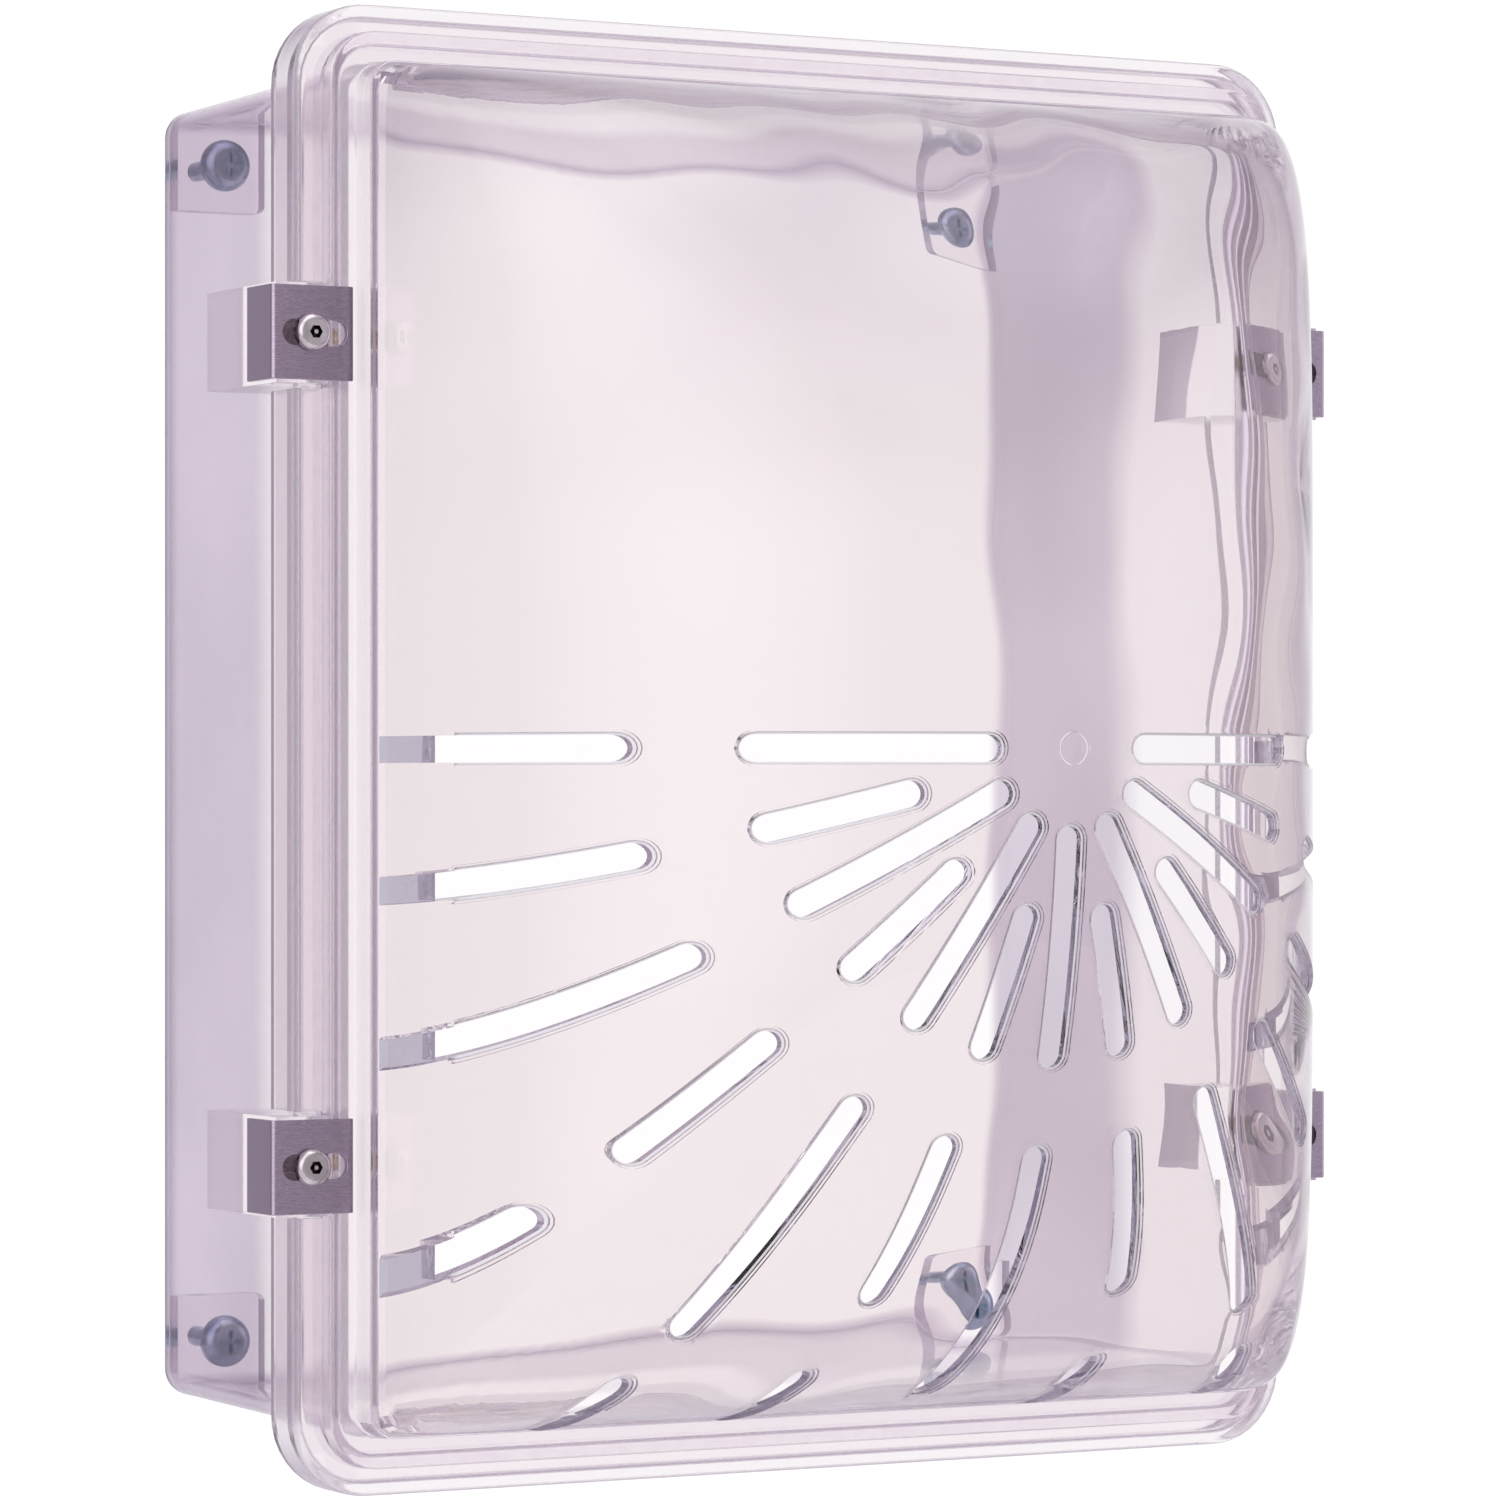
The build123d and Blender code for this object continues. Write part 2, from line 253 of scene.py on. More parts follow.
def soften(mat, mask_of, rough):
    """Slightly frosted zones, where the mould surface was not polished."""
    nt = mat.node_tree
    b = shader_of(mat)
    src = b.inputs["Roughness"].links[0].from_socket
    fac = mask_of(nt)
    n = noise(nt, 140.0, 2.0, 0.5)
    frost = nt.nodes.new("ShaderNodeMapRange")
    frost.inputs["To Min"].default_value = rough * 0.85
    frost.inputs["To Max"].default_value = rough * 1.15
    nt.links.new(n.outputs["Fac"], frost.inputs["Value"])
    part = calc(nt, "MULTIPLY", frost.outputs["Result"], fac)
    nt.links.new(calc(nt, "MAXIMUM", part, src), b.inputs["Roughness"])


cloud_cover(M_COVER)
soften(M_RIM, lambda nt: step_up(nt, xyz(nt).outputs["Y"], -0.1462, -0.1448), 0.14)


def paint_wall_shade(mat, rear, side):
    """Painted shade: the drawn side walls of the tray are coloured greyer than its flat rear wall."""
    nt = mat.node_tree
    b = next(n for n in nt.nodes if n.type == "BSDF_PRINCIPLED")
    tc = nt.nodes.new("ShaderNodeTexCoord")
    sp = nt.nodes.new("ShaderNodeSeparateXYZ")
    nt.links.new(tc.outputs["Object"], sp.inputs["Vector"])
    wall_shade_masks = []
    for axis, lo, hi, end in (("X", 0.1365, 0.1395, 0.1475), ("Z", 0.1795, 0.1825, 0.1905)):
        ab = nt.nodes.new("ShaderNodeMath")
        ab.operation = "ABSOLUTE"
        nt.links.new(sp.outputs[axis], ab.inputs[0])
        mr = nt.nodes.new("ShaderNodeMapRange")
        mr.inputs["From Min"].default_value = lo
        mr.inputs["From Max"].default_value = hi
        nt.links.new(ab.outputs[0], mr.inputs["Value"])
        past = step_up(nt, ab.outputs[0], end + 0.0006, end)      # not the flange and the ears
        wall_shade_masks.append(calc(nt, "MULTIPLY", mr.outputs["Result"], past))
    mx = nt.nodes.new("ShaderNodeMath")
    mx.operation = "MAXIMUM"
    nt.links.new(wall_shade_masks[0], mx.inputs[0])
    nt.links.new(wall_shade_masks[1], mx.inputs[1])
    dp = nt.nodes.new("ShaderNodeMapRange")      # painted shade, greyest towards the rear
    dp.inputs["From Min"].default_value = -0.082
    dp.inputs["From Max"].default_value = -0.066
    dp.inputs["To Min"].default_value = 0.16
    nt.links.new(sp.outputs["Y"], dp.inputs["Value"])
    fade = nt.nodes.new("ShaderNodeMath")
    fade.operation = "MULTIPLY"
    nt.links.new(mx.outputs[0], fade.inputs[0])
    nt.links.new(dp.outputs["Result"], fade.inputs[1])
    mx = fade
    # the painted wall shade varies in soft clouds over the drawn walls
    n = noise(nt, 11.0, 2.0, 0.45)
    wall_shade_clouds = ramp(nt, n.outputs["Fac"], [(0.30, side), (0.70, tuple(min(1.0, c * 1.16) for c in side))])
    mix = nt.nodes.new("ShaderNodeMixRGB")
    mix.inputs["Color1"].default_value = (*rear, 1)
    nt.links.new(mx.outputs[0], mix.inputs["Fac"])
    nt.links.new(wall_shade_clouds.outputs["Color"], mix.inputs["Color2"])
    # painted shadow: near-black patches on the tray's ears beneath the clips' slots, where the gap lies in shade
    ax = calc(nt, "ABSOLUTE", sp.outputs["X"])
    az = calc(nt, "ABSOLUTE", calc(nt, "SUBTRACT", calc(nt, "ABSOLUTE", sp.outputs["Z"]), 0.112))
    slot_shadow = calc(nt, "MULTIPLY", step_up(nt, ax, 0.1512, 0.1518), step_up(nt, az, 0.0075, 0.0070))
    slot_shadow = calc(nt, "MULTIPLY", slot_shadow, step_up(nt, sp.outputs["Y"], -0.1338, -0.1345))
    dark = mix_colour(nt, slot_shadow, mix.outputs["Color"], (0.02, 0.012, 0.016))
    nt.links.new(dark, b.inputs["Base Color"])


# painted shade on the tray's side walls and a painted shadow beneath the clips' slots
paint_wall_shade(M_TRAY, (0.985, 0.960, 0.972), (0.62, 0.56, 0.64))


def tray_edges(nt):
    sp = xyz(nt)
    ax = calc(nt, "ABSOLUTE", sp.outputs["X"])
    az = calc(nt, "ABSOLUTE", sp.outputs["Z"])
    out = calc(nt, "MAXIMUM", step_up(nt, ax, 0.1345, 0.1385), step_up(nt, az, 0.1775, 0.1815))
    rear = step_up(nt, sp.outputs["Y"], -0.012, -0.005)
    front = step_up(nt, sp.outputs["Y"], -0.100, -0.106)
    return calc(nt, "MULTIPLY", out, calc(nt, "MAXIMUM", rear, calc(nt, "MULTIPLY", front, 0.6)))


soften(M_TRAY, tray_edges, 0.20)
# the rim's tint deepens at a slant, partly as painted shade
deepen(M_RIM, (0.91, 0.87, 0.895), (0.42, 0.37, 0.46), 0.46, 0.80)
M_BLOCK = clear_plastic("block_clear", (0.95, 0.92, 0.95), ior=1.28, wave=0.1, wave_scale=60.0)
M_STEEL = brushed("stainless_strip", (0.32, 0.265, 0.33), (0.60, 0.52, 0.62), 0.22, (1, 1, 14))
M_SCREW = plated("stainless_screw", (0.56, 0.52, 0.52), (0.84, 0.81, 0.82), 0.10)


def paint_screw_shade(mat):
    """Painted shade: the drive recess of the clip screws is coloured near-black inside, and the shank below the head
    is darkened.
    """
    nt = mat.node_tree
    b = shader_of(mat)
    col = b.inputs["Base Color"].links[0].from_socket
    sp = xyz(nt)
    dx = calc(nt, "SUBTRACT", calc(nt, "ABSOLUTE", sp.outputs["X"]), 0.1585)
    dz = calc(nt, "SUBTRACT", calc(nt, "ABSOLUTE", sp.outputs["Z"]), 0.112)
    rad = calc(nt, "SQRT", calc(nt, "ADD", calc(nt, "MULTIPLY", dx, dx), calc(nt, "MULTIPLY", dz, dz)))
    drive_recess_shade = calc(nt, "MULTIPLY", step_up(nt, rad, 0.00215, 0.0020), step_up(nt, sp.outputs["Y"], -0.1406, -0.1400))
    under_head_shade = step_up(nt, sp.outputs["Y"], -0.1388, -0.1374)
    dark = calc(nt, "MAXIMUM", drive_recess_shade, calc(nt, "MULTIPLY", under_head_shade, 0.75))
    nt.links.new(mix_colour(nt, dark, col, (0.03, 0.02, 0.02)), b.inputs["Base Color"])


# painted shade in the screws' drive recess and below their heads
paint_screw_shade(M_SCREW)
M_ZINC = plated("blue_zinc", (0.36, 0.47, 0.56), (0.62, 0.70, 0.78), 0.16)
M_BRASS = brushed("insert_brass", (0.45, 0.33, 0.16), (0.70, 0.54, 0.28), 0.3, (1, 8, 1))


def gasket_mat():
    m, nt, b, out = new_mat("gasket_silicone")
    n = noise(nt, 220.0, 3.0)
    r = ramp(nt, n.outputs["Fac"], [(0.3, (0.90, 0.865, 0.91)), (0.7, (0.96, 0.935, 0.96))])
    nt.links.new(r.outputs["Color"], b.inputs["Base Color"])
    b.inputs["Transmission Weight"].default_value = 1.0
    b.inputs["IOR"].default_value = 1.0
    rr = nt.nodes.new("ShaderNodeMapRange")
    rr.inputs["To Min"].default_value = 0.12
    rr.inputs["To Max"].default_value = 0.22
    nt.links.new(n.outputs["Fac"], rr.inputs["Value"])
    nt.links.new(rr.outputs["Result"], b.inputs["Roughness"])
    bump(nt, b, n.outputs["Fac"], 0.1, 0.0003)
    return m


M_GASKET = gasket_mat()


# ------------------------------------------------------------------
# Mesh helpers
# ------------------------------------------------------------------
def link(name, me, mats):
    o = bpy.data.objects.new(name, me)
    bpy.context.scene.collection.objects.link(o)
    for m in mats:
        me.materials.append(m)
    return o


def resample(quarter, n):
    run = [0.0]
    for a, b in zip(quarter, quarter[1:]):
        run.append(run[-1] + math.dist(a, b))
    out, i = [], 0
    for j in range(n + 1):
        t = run[-1] * j / n
        while i < len(run) - 2 and run[i + 1] < t:
            i += 1
        f = (t - run[i]) / max(1e-12, run[i + 1] - run[i])
        out.append((quarter[i][0] + f * (quarter[i + 1][0] - quarter[i][0]),
                    quarter[i][1] + f * (quarter[i + 1][1] - quarter[i][1])))
    return out


def all_round(q):
    back = list(reversed(q))
    return (q[:-1] + [(-x, y) for x, y in back][:-1]
            + [(-x, -y) for x, y in q][:-1] + [(x, -y) for x, y in back][:-1])


def rect_loop(a, b, r):
    r = max(0.05, min(r, a, b))
    q = [(a, 0.0), (a, b - r)]
    for i in range(1, 41):
        t = math.pi / 2 * i / 40
        q.append((a - r + r * math.cos(t), b - r + r * math.sin(t)))
    q.append((0.0, b))
    return all_round(resample(q, PER_Q))


def u_of(drop, inset):
    r = DOME_R - inset
    return math.sqrt(max(0.0, r * r - (r - drop) ** 2))


def v_of(drop, inset):
    big, small = DOME_RV - inset, DOME_RK - inset
    gap = DOME_RV - DOME_RK
    zc = math.sqrt(gap ** 2 - DOME_VK ** 2)
    q = big - drop
    if q >= big * zc / gap:
        return math.sqrt(max(0.0, big * big - q * q))
    if q >= zc:
        return DOME_VK + math.sqrt(max(0.0, small * small - (q - zc) ** 2))
    return DOME_VK + small


def level_loop(drop, inset):
    k = 1.3 + 5.0 * (drop / DOME_DROP) ** 2
    q = []
    n = 500
    for i in range(n + 1):
        a = math.pi / 2 * i / n
        cu = math.cos(a) ** (2 / k) if i < n else 0.0
        sv = math.sin(a) ** (2 / k) if i > 0 else 0.0
        q.append((u_of(drop * cu, inset), v_of(drop * sv, inset)))
    return all_round(resample(q, PER_Q))


def rounded_profile(stations, steps=4):
    """Rounds the corners of a profile of (a, b, r, h) stations; the fifth number is the rounding."""
    out = [stations[0][:4]]
    for p0, p1, p2 in zip(stations, stations[1:], stations[2:]):
        rad = p1[4] if len(p1) > 4 else 0.0
        if rad <= 0:
            out.append(p1[:4])
            continue
        def toward(p, q):
            d = math.hypot(q[0] - p[0], q[3] - p[3])
            f = min(0.48, rad / max(d, 1e-9))
            return tuple(p[i] + f * (q[i] - p[i]) for i in range(4))
        s, e = toward(p1, p0), toward(p1, p2)
        for i in range(steps + 1):
            t = i / steps
            out.append(tuple((1 - t) ** 2 * s[j] + 2 * t * (1 - t) * p1[j] + t * t * e[j] for j in range(4)))
    out.append(stations[-1][:4])
    return out


def long_faces(stations, step=6.0):
    """Adds stations so that no face is much longer than step."""
    out = [stations[0]]
    for p, q in zip(stations, stations[1:]):
        d = math.hypot(q[0] - p[0], q[3] - p[3])
        n = max(1, int(math.ceil(d / step)))
        for i in range(1, n + 1):
            out.append(tuple(p[j] + (q[j] - p[j]) * i / n for j in range(4)))
    return out


def shell_from_loops(name, loops, cap_start=True, cap_end=True, closed=False):
    """loops: list of lists of (x, y, z) with the same number of points."""
    n = len(loops[0])
    verts = [v for lp in loops for v in lp]
    faces = []
    count = len(loops)
    for i in range(count if closed else count - 1):
        a, b = i * n, ((i + 1) % count) * n
        for j in range(n):
            k = (j + 1) % n
            faces.append((a + j, a + k, b + k, b + j))
    if not closed:
        if cap_start:
            c = len(verts)
            verts.append(tuple(sum(v[i] for v in loops[0]) / n for i in range(3)))
            for j in range(n):
                faces.append((c, (j + 1) % n, j))
        if cap_end:
            c = len(verts)
            verts.append(tuple(sum(v[i] for v in loops[-1]) / n for i in range(3)))
            base = (count - 1) * n
            for j in range(n):
                faces.append((c, base + j, base + (j + 1) % n))
    me = bpy.data.meshes.new(name)
    me.from_pydata([(x * MM, y * MM, z * MM) for x, y, z in verts], [], faces)
    me.update()
    bm = bmesh.new()
    bm.from_mesh(me)
    bmesh.ops.recalc_face_normals(bm, faces=bm.faces)
    bm.to_mesh(me)
    bm.free()
    return me


def at(loop, h):
    return [(x, -h, z) for x, z in loop]


def flow(x, z):
    """Uneven thickness of the moulding, in mm, about 0. It is strongest near the rim and at the right."""
    e = max(abs(x) / 143.0, abs(z) / 184.0)
    e = min(1.0, max(0.0, (e - 0.50) / 0.42))
    e = e * e * (3 - 2 * e)
    rt = min(1.0, max(0.0, (x - 10.0) / 90.0))
    gain = 0.45 + 1.25 * e + 0.55 * rt
    s = 0.0
    for fx, fz, p, w in ((0.055, 0.021, 0.4, 1.0), (-0.031, 0.067, 1.9, 0.9), (0.093, -0.045, 3.3, 0.55),
                         (0.019, 0.118, 5.1, 0.5), (0.141, 0.077, 0.9, 0.28), (-0.083, 0.161, 2.6, 0.26)):
        s += w * math.sin(fx * x + fz * z + p + 0.8 * math.sin(0.017 * z + p))
    return s * gain


# ------------------------------------------------------------------
# The clear front cover: one closed shell of loops
# ------------------------------------------------------------------
DROPS = [DOME_R * (1 - math.cos(math.radians(a))) for a in
         [81.9, 80.6, 79.2] + [78 - 1.25 * i for i in range(60)] + [2.6, 2.0]]
DROPS = [d for d in DROPS if d <= DOME_DROP]


def dome_loops(inset, wavy=0.0):
    out = []
    for d in [DOME_DROP] + DROPS:
        lp = level_loop(d, inset)
        h = H_APEX - inset - d
        if wavy:
            fade = min(1.0, (DOME_DROP - d) / 12.0)
            pts = []
            for x, z in lp:
                f = wavy * fade * flow(x, z)
                pts.append((x * (1 + f * 0.0022), -(h + f * max(0.15, 1 - d / 110.0)), z * (1 + f * 0.0016)))
            out.append(pts)
        else:
            out.append(at(lp, h))
    return out


def build_cover():
    outer = rounded_profile([
        (158.9, 201.9, 21.4, H_SKIRT), (159.5, 202.5, 22.0, H_SKIRT + 0.6), (159.5, 202.5, 22.0, H_RIM, 2.4),
        (151.5, 194.5, 14.0, H_RIM, 0.8), (151.5, 194.5, 14.0, H_BAND, 1.1),
        (144.5, 185.5, 7.0, H_BAND, 0.7), (144.5, 185.5, 7.0, H_PLINTH, 0.8), (142.6, 184.0, 6.0, H_PLINTH - 0.02)])
    inner = rounded_profile([
        (156.9, 199.9, 19.4, H_SKIRT), (156.3, 199.3, 18.8, H_SKIRT + 0.6), (156.3, 199.3, 18.8, H_RIM - WALL, 1.2),
        (148.3, 191.3, 10.8, H_RIM - WALL, 0.8), (148.3, 191.3, 10.8, H_BAND - WALL, 0.9),
        (141.3, 182.3, 4.5, H_BAND - WALL, 0.8), (141.3, 182.3, 4.5, H_PLINTH - WALL, 0.5), (139.8, 180.8, 5.0, H_PLINTH - WALL + 0.02)])
    loops = []
    for a, b, r, h in long_faces(outer):
        loops.append(at(rect_loop(a, b, r), h))
    up = dome_loops(0.0)
    # round moulding mark at the apex
    for r, h in ((4.9, H_APEX - 0.10), (4.5, H_APEX - 0.06), (4.25, H_APEX + 0.14), (3.9, H_APEX + 0.20), (3.0, H_APEX + 0.12), (1.4, H_APEX + 0.05)):
        up.append([(x, -h, z) for x, z in all_round(resample([(r * math.cos(math.pi / 2 * i / 40), r * math.sin(math.pi / 2 * i / 40)) for i in range(41)], PER_Q))])
    o_top = loops + up
    inner_loops = []
    for a, b, r, h in long_faces(inner):
        inner_loops.append(at(rect_loop(a, b, r), h))
    inner_loops += dome_loops(WALL, 0.27)
    # one closed skin: inner apex -> inner skirt -> outer skirt -> outer apex
    me = shell_from_loops("cover_shell", list(reversed(inner_loops)) + o_top)
    return me


def prism_mesh(name, outlines, h0, h1):
    """Closed prisms over convex outlines [(x, z), ...]; outlines must not overlap."""
    bm = bmesh.new()
    for ol in outlines:
        lo = [bm.verts.new((x * MM, -h0 * MM, z * MM)) for x, z in ol]
        hi = [bm.verts.new((x * MM, -h1 * MM, z * MM)) for x, z in ol]
        bm.faces.new(lo)
        bm.faces.new(list(reversed(hi)))
        n = len(ol)
        for i in range(n):
            bm.faces.new((lo[i], hi[i], hi[(i + 1) % n], lo[(i + 1) % n]))
    bmesh.ops.recalc_face_normals(bm, faces=bm.faces)
    me = bpy.data.meshes.new(name)
    bm.to_mesh(me)
    bm.free()
    return me


def slot_outline(a, r0, r1, w, seg=10):
    c, s = math.cos(math.radians(a)), math.sin(math.radians(a))
    pts = []
    for i in range(seg + 1):
        t = math.pi / 2 - math.pi * i / seg
        pts.append((r1 - w / 2 + w / 2 * math.cos(t), w / 2 * math.sin(t)))
    for i in range(seg + 1):
        t = -math.pi / 2 - math.pi * i / seg
        pts.append((r0 + w / 2 + w / 2 * math.cos(t), w / 2 * math.sin(t)))
    return [(x * c - y * s, x * s + y * c) for x, y in pts]


def clip_poly(poly, ax, sign, lim):
    """Keeps the part of a convex polygon where sign * p[ax] <= lim."""
    out = []
    for p, q in zip(poly, poly[1:] + poly[:1]):
        dp, dq = sign * p[ax] - lim, sign * q[ax] - lim
        if dp <= 0:
            out.append(p)
        if (dp < 0 < dq) or (dq < 0 < dp):
            t = dp / (dp - dq)
            out.append((p[0] + t * (q[0] - p[0]), p[1] + t * (q[1] - p[1])))
    return out


def clip_box(poly, u, v):
    for ax, sign, lim in ((0, 1, u), (0, -1, u), (1, 1, v), (1, -1, v)):
        poly = clip_poly(poly, ax, sign, lim)
        if len(poly) < 3:
            return None
    clean = []
    for p in poly:
        if not clean or math.dist(p, clean[-1]) > 0.02:
            clean.append(p)
    if math.dist(clean[0], clean[-1]) < 0.02:
        clean.pop()
    return clean if len(clean) >= 3 else None


RAYS = []
for a in (180, 210, 240, 270, 300, 330, 360):
    RAYS.append((a, 20.3, 84.2))
for a in (195, 225, 255, 285, 315, 345):
    RAYS.append((a, 42.5, 84.2))
for a in (180, 195, 210, 330, 345, 360):
    RAYS.append((a, 105.3, 185.0))
for a in (225, 255, 285, 315):
    RAYS.append((a, 105.3, 151.9))
for a in (240, 300):
    RAYS.append((a, 105.3, 178.2))
RAYS.append((270, 105.3, 175.8))
for a in (225, 315):
    RAYS.append((a, 171.7, 230.0))
for a in (240, 300):
    RAYS.append((a, 192.4, 240.0))
for a in (255, 285):
    RAYS.append((a, 172.1, 230.0))


def boolean(target, cutter_mesh, name):
    cut = bpy.data.objects.new(name, cutter_mesh)
    bpy.context.scene.collection.objects.link(cut)
    mod = target.modifiers.new(name, "BOOLEAN")
    mod.operation = "DIFFERENCE"
    mod.object = cut
    try:
        mod.solver = "MANIFOLD"
    except TypeError:
        mod.solver = "EXACT"
    bpy.context.view_layer.update()
    dg = bpy.context.evaluated_depsgraph_get()
    me = bpy.data.meshes.new_from_object(target.evaluated_get(dg), depsgraph=dg)
    if len(me.polygons) < 100:
        mod.solver = "EXACT"
        bpy.context.view_layer.update()
        dg = bpy.context.evaluated_depsgraph_get()
        me = bpy.data.meshes.new_from_object(target.evaluated_get(dg), depsgraph=dg)
    target.modifiers.remove(mod)
    old = target.data
    target.data = me
    bpy.data.meshes.remove(old)
    bpy.data.objects.remove(cut)
    return target


cover = link("cover_moulding", build_cover(), [])

# recesses in the steep foot of the dome: slot prisms less the inner half of the wall
outer_lines = []
for a, r0, r1 in RAYS:
    poly = clip_box(slot_outline(a, r0, r1, SLOT_W), DOME_R + 0.1, DOME_VK + DOME_RK + 0.1)
    if poly and (max(abs(p[0]) for p in poly) > SLOT_U or max(-p[1] for p in poly) > SLOT_V):
        outer_lines.append(poly)
rec = link("recess_tool", prism_mesh("recess", outer_lines, H_PLINTH + 0.3, H_APEX + 6), [])
mid = [at(rect_loop(142.0, 182.5, 6.0), H_PLINTH - 3)] + dome_loops(WALL * 0.42)[1:]
boolean(rec, shell_from_loops("mid_dome", mid), "mid_tool")
rec_mesh = rec.data.copy()
bpy.data.objects.remove(rec)
rec_mesh.materials.clear()
rec_mesh.materials.append(M_COVER)
rec_mesh.materials.append(M_RECESS_SHADE)
rec_mesh.polygons.foreach_set("material_index", [1] * len(rec_mesh.polygons))
cover.data.materials.append(M_COVER)
cover.data.materials.append(M_RECESS_SHADE)
boolean(cover, rec_mesh, "recess_cut")

# a shallow step round every slot, where the moulding thins towards its edge
for n_step, (wide, deep) in enumerate(((9.8, 0.55), (8.6, 1.15))):
    lines = []
    for a, r0, r1 in RAYS:
        poly = clip_box(slot_outline(a, r0 - (wide - SLOT_W) / 2, r1 + (wide - SLOT_W) / 2, wide), SLOT_U - 1.5, SLOT_V - 1.5)
        if poly:
            lines.append(poly)
    st = link("step_tool", prism_mesh("step", lines, H_PLINTH + 0.9, H_APEX + 6), [])
    boolean(st, shell_from_loops("step_dome", [at(rect_loop(142.0, 182.5, 6.0), H_PLINTH - 3)] + dome_loops(deep)[1:]), "step_mid")
    st_mesh = st.data.copy()
    bpy.data.objects.remove(st)
    boolean(cover, st_mesh, "step_cut")

# open slots
open_lines = []
for a, r0, r1 in RAYS:
    poly = clip_box(slot_outline(a, r0, r1, SLOT_W), SLOT_U, SLOT_V)
    if poly:
        open_lines.append(poly)
boolean(cover, prism_mesh("slots", open_lines, H_PLINTH + 0.9, H_APEX + 8), "slot_cut")

# notches round the ears of the tray
notch = []
for sx in (-1, 1):
    for sz in (-1, 1):
        x0, x1, z0, z1 = 151.5, 163.0, 112.0 - 14.5, 112.0 + 14.5
        notch.append([(sx * x0, sz * z0), (sx * x1, sz * z0), (sx * x1, sz * z1), (sx * x0, sz * z1)])
boolean(cover, prism_mesh("notches", notch, H_SKIRT - 2, H_RIM + 2), "notch_cut")


def smooth(me, angle=32.0):
    me.polygons.foreach_set("use_smooth", [True] * len(me.polygons))
    me.set_sharp_from_angle(angle=math.radians(angle))
    me.update()


cover.data.materials.append(M_RIM)
# painted shade on the slot walls
cover.data.materials.append(M_SLOT_SHADE)
last = len(cover.data.materials) - 1
for f in cover.data.polygons:
    if f.center.y > -0.14485:
        f.material_index = last - 1
    elif abs(f.normal.y) < 0.06 and abs(f.center.x) < 0.1362 and abs(f.center.z) < 0.1778:
        f.material_index = last
smooth(cover.data)
print("cover faces", len(cover.data.polygons), "recess faces", sum(1 for f in cover.data.polygons if f.material_index == 1),
      [m.name if m else None for m in cover.data.materials])
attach(cover, "housing")
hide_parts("cover")

# ------------------------------------------------------------------
# Carried-over CAD pieces: finish only
# ------------------------------------------------------------------
FINISH = (("back_box", M_TRAY), ("cover_gasket", M_GASKET), ("corner_block", M_BLOCK), ("clip_screw", M_SCREW),
          ("clip_insert", M_BRASS), ("clip_", M_STEEL), ("mount_screw", M_ZINC), ("side_", M_ZINC))
SMOOTH_GROUP = bpy.data.node_groups.new("smooth_faces", "GeometryNodeTree")
SMOOTH_GROUP.interface.new_socket("Geometry", in_out="INPUT", socket_type="NodeSocketGeometry")
SMOOTH_GROUP.interface.new_socket("Geometry", in_out="OUTPUT", socket_type="NodeSocketGeometry")
g_in = SMOOTH_GROUP.nodes.new("NodeGroupInput")
g_out = SMOOTH_GROUP.nodes.new("NodeGroupOutput")
g_set = SMOOTH_GROUP.nodes.new("GeometryNodeSetShadeSmooth")
SMOOTH_GROUP.links.new(g_in.outputs[0], g_set.inputs["Geometry"])
SMOOTH_GROUP.links.new(g_set.outputs["Geometry"], g_out.inputs[0])

for name, o in N.items():
    if name == "cover":
        continue
    mat = next(m for key, m in FINISH if name.startswith(key))
    o.data.materials.clear()
    o.data.materials.append(mat)
    w = o.modifiers.new("weld", "WELD")
    w.merge_threshold = 0.00001
    if name in ("cover_gasket",) or name.startswith("corner_block"):      # a hair clear of the faces they lie between
        gap = o.modifiers.new("clear", "DISPLACE")
        gap.mid_level = 0.0
        gap.strength = -0.0002
    sm = o.modifiers.new("smooth", "NODES")
    sm.node_group = SMOOTH_GROUP
    if name.startswith(("clip_left", "clip_right", "corner_block")):
        bv = o.modifiers.new("edge", "BEVEL")
        bv.width = 0.00025 if name.startswith("clip") else 0.0006
        bv.segments = 2
        bv.limit_method = "ANGLE"
        bv.angle_limit = math.radians(50)
    es = o.modifiers.new("crisp", "EDGE_SPLIT")
    es.split_angle = math.radians(28)
    wnm = o.modifiers.new("even", "WEIGHTED_NORMAL")
    wnm.weight = 80
    wnm.keep_sharp = True

# ------------------------------------------------------------------
# Studio: pale floor, soft light, camera
# ------------------------------------------------------------------
sc = bpy.context.scene
floor_me = bpy.data.meshes.new("floor")
R, Z0 = 2.2, -0.62
ring = [(R * math.cos(2 * math.pi * i / 96), R * math.sin(2 * math.pi * i / 96), Z0) for i in range(96)]
floor_me.from_pydata(ring, [], [tuple(range(96))])
floor = bpy.data.objects.new("studio_floor", floor_me)
sc.collection.objects.link(floor)
fm, fnt, fb, _ = new_mat("floor_pale")
fn = noise(fnt, 3.0, 3.0)
fr = ramp(fnt, fn.outputs["Fac"], [(0.3, (0.84, 0.83, 0.84)), (0.7, (0.88, 0.87, 0.88))])
fnt.links.new(fr.outputs["Color"], fb.inputs["Base Color"])
fb.inputs["Roughness"].default_value = 0.8
floor_me.materials.append(fm)

world = bpy.data.worlds.new("studio")
sc.world = world
world.use_nodes = True
wn = world.node_tree
for n in list(wn.nodes):
    wn.nodes.remove(n)
wo = wn.nodes.new("ShaderNodeOutputWorld")
bg = wn.nodes.new("ShaderNodeBackground")
wn.links.new(bg.outputs["Background"], wo.inputs["Surface"])
tc = wn.nodes.new("ShaderNodeTexCoord")


def wmath(op, x, y=None):
    n = wn.nodes.new("ShaderNodeMath")
    n.operation = op
    for i, v in enumerate((x, y)):
        if v is None:
            continue
        if isinstance(v, (int, float)):
            n.inputs[i].default_value = v
        else:
            wn.links.new(v, n.inputs[i])
    return n.outputs[0]


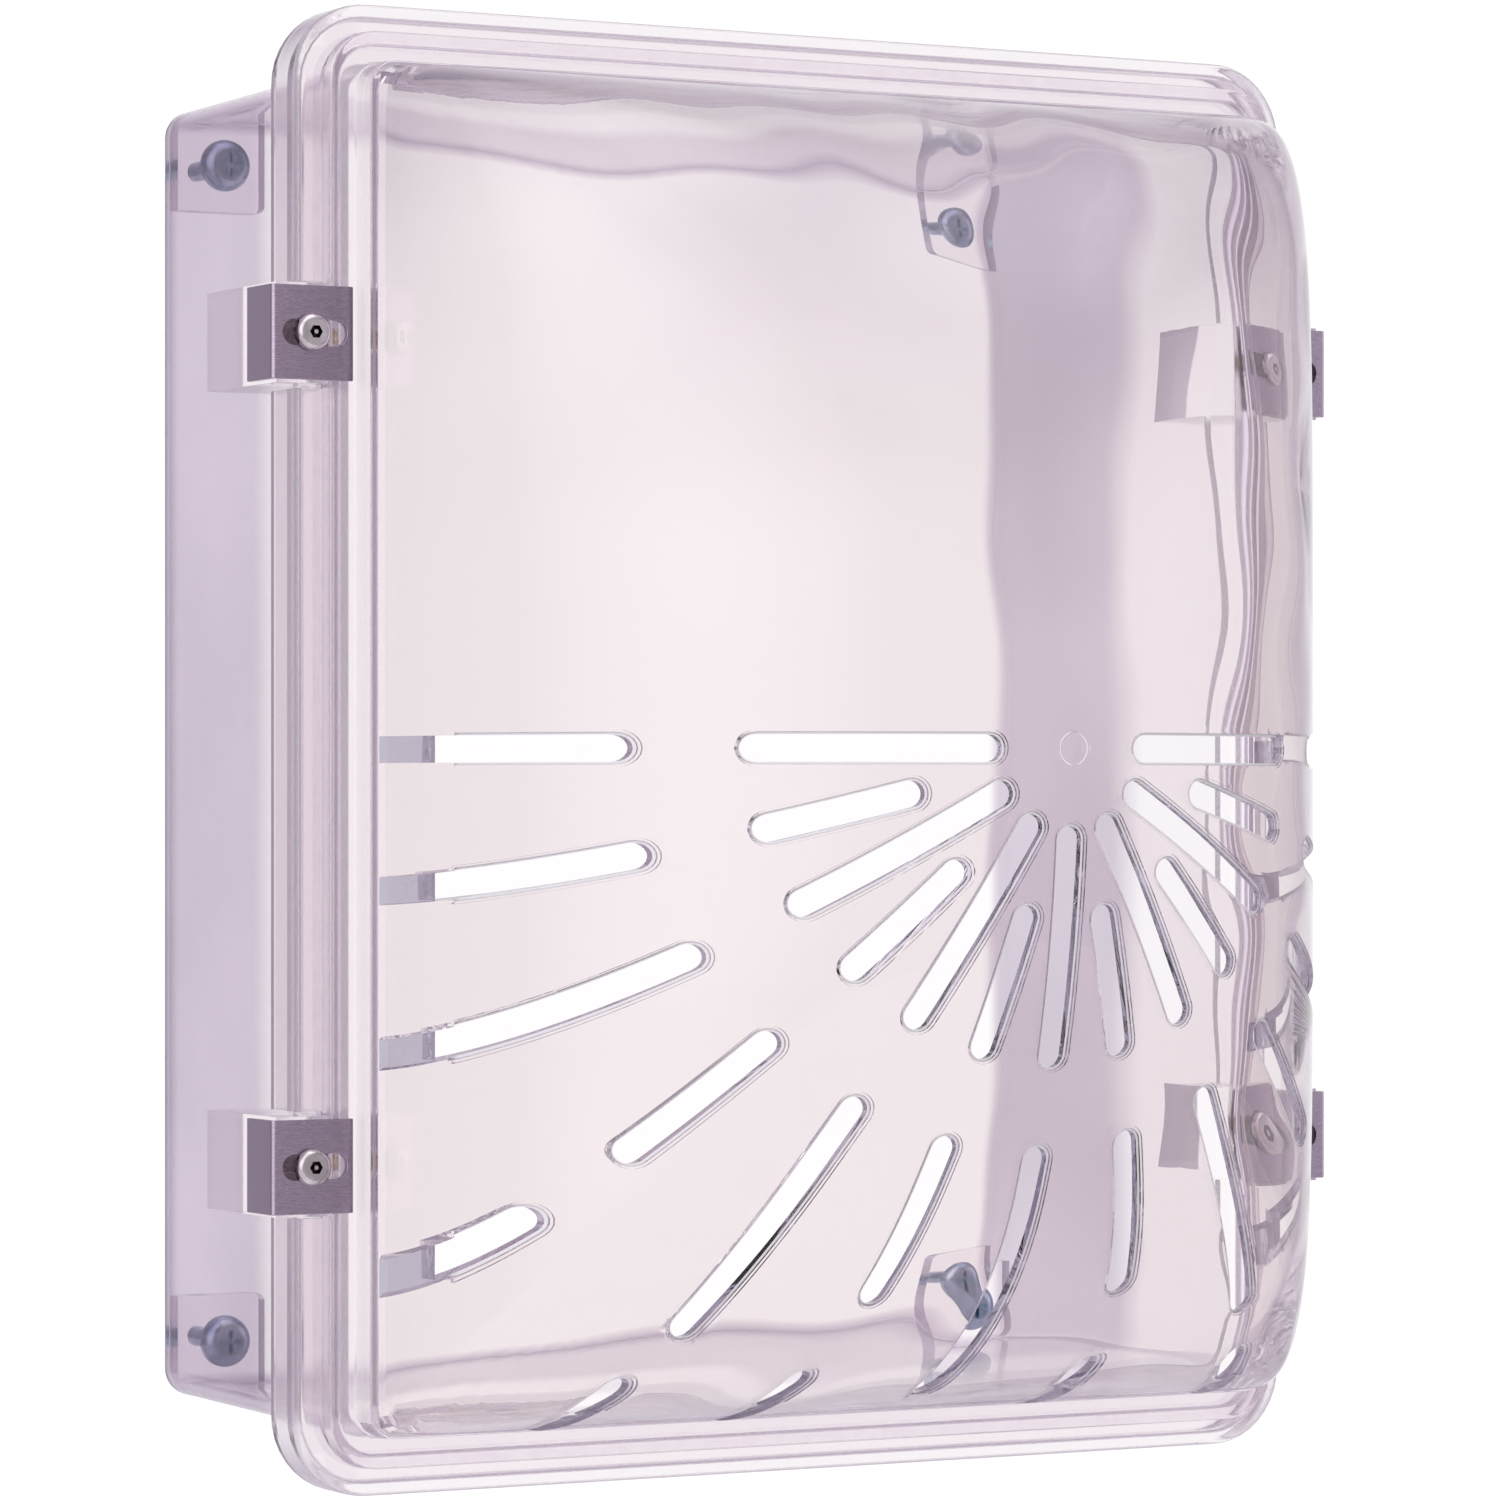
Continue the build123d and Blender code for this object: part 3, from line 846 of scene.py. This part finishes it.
def lobe(direction, low, high, stops):
    """Brightness as a smooth function of the angle from a direction."""
    d = wn.nodes.new("ShaderNodeVectorMath")
    d.operation = "DOT_PRODUCT"
    wn.links.new(tc.outputs["Generated"], d.inputs[0])
    d.inputs[1].default_value = Vector(direction).normalized()
    mr = wn.nodes.new("ShaderNodeMapRange")
    mr.inputs["From Min"].default_value = low
    mr.inputs["From Max"].default_value = high
    wn.links.new(d.outputs["Value"], mr.inputs["Value"])
    r = wn.nodes.new("ShaderNodeValToRGB")
    e = r.color_ramp.elements
    while len(e) < len(stops):
        e.new(0.5)
    for q, (pos, col) in zip(e, stops):
        q.position = pos
        q.color = (*col, 1)
    wn.links.new(mr.outputs["Result"], r.inputs["Fac"])
    return r.outputs["Color"]


# a white field behind the object, greyer and slightly mauve away from it, and three soft lamps
field = lobe((0.485, 0.875, 0.0), -1.0, 1.0,
             [(0.0, (0.60, 0.56, 0.61)), (0.35, (0.42, 0.385, 0.44)), (0.60, (0.34, 0.305, 0.365)), (0.80, (0.44, 0.40, 0.465)),
              (0.92, (0.70, 0.65, 0.71)), (0.960, (0.92, 0.89, 0.91)), (0.978, (1.0, 1.0, 1.0))])
lamps = [lobe((-0.75, -0.55, 0.35), 0.70, 1.0, [(0.0, (0, 0, 0)), (0.75, (0.9, 0.87, 0.90)), (1.0, (1.3, 1.27, 1.3))]),
         lobe((0.1, -0.35, 1.0), 0.72, 1.0, [(0.0, (0, 0, 0)), (0.8, (0.9, 0.9, 0.93)), (1.0, (1.2, 1.2, 1.2))]),
         lobe((0.9, -0.5, 0.1), 0.86, 1.0, [(0.0, (0, 0, 0)), (1.0, (0.7, 0.7, 0.75))])]
total = field
for lamp in lamps:
    mx = wn.nodes.new("ShaderNodeMixRGB")
    mx.blend_type = "ADD"
    mx.inputs["Fac"].default_value = 1.0
    wn.links.new(total, mx.inputs["Color1"])
    wn.links.new(lamp, mx.inputs["Color2"])
    total = mx.outputs["Color"]
wn.links.new(total, bg.inputs["Color"])
bg.inputs["Strength"].default_value = 1.05

sc.view_settings.view_transform = "Standard"


def area(name, loc, target, size, power, color=(1, 1, 1)):
    ld = bpy.data.lights.new(name, "AREA")
    ld.shape = "RECTANGLE"
    ld.size, ld.size_y = size
    ld.energy = power
    ld.color = color
    lo = bpy.data.objects.new(name, ld)
    sc.collection.objects.link(lo)
    lo.location = loc
    lo.rotation_euler = (Vector(target) - Vector(loc)).to_track_quat("-Z", "Y").to_euler()
    return lo


key = area("soft_key", (-1.6, -2.2, 1.3), (0, -0.1, 0), (1.6, 1.6), 9, (1.0, 0.98, 0.99))
key.visible_glossy = False
key.visible_transmission = False

sc.cycles.max_bounces = 40
sc.cycles.transmission_bounces = 40
sc.cycles.glossy_bounces = 32

cam_data = bpy.data.cameras.new("camera")
cam = bpy.data.objects.new("camera", cam_data)
sc.collection.objects.link(cam)
cam_data.sensor_fit = "HORIZONTAL"
cam_data.sensor_width = 36.0
cam_data.lens = 36.0 * 6050.0 / 1500.0
cam_data.clip_start, cam_data.clip_end = 0.05, 50.0
H = 0.405
cu, cv, cq = -2.0803 * H, -0.034 * H, 3.6672 * H
cam.location = (cu, -(cq + 0.129), cv)
theta = math.radians(29.0)
look = Vector((math.sin(theta), math.cos(theta), 0.0))
right = Vector((math.cos(theta), -math.sin(theta), 0.0))
up = Vector((0, 0, 1))
rot = Matrix((right, up, -look)).transposed()
cam.rotation_mode = "QUATERNION"
cam.rotation_quaternion = rot.to_quaternion()
cam_data.shift_x = 0.0
cam_data.shift_y = (801.0 - 750.0) / 1500.0
sc.camera = cam
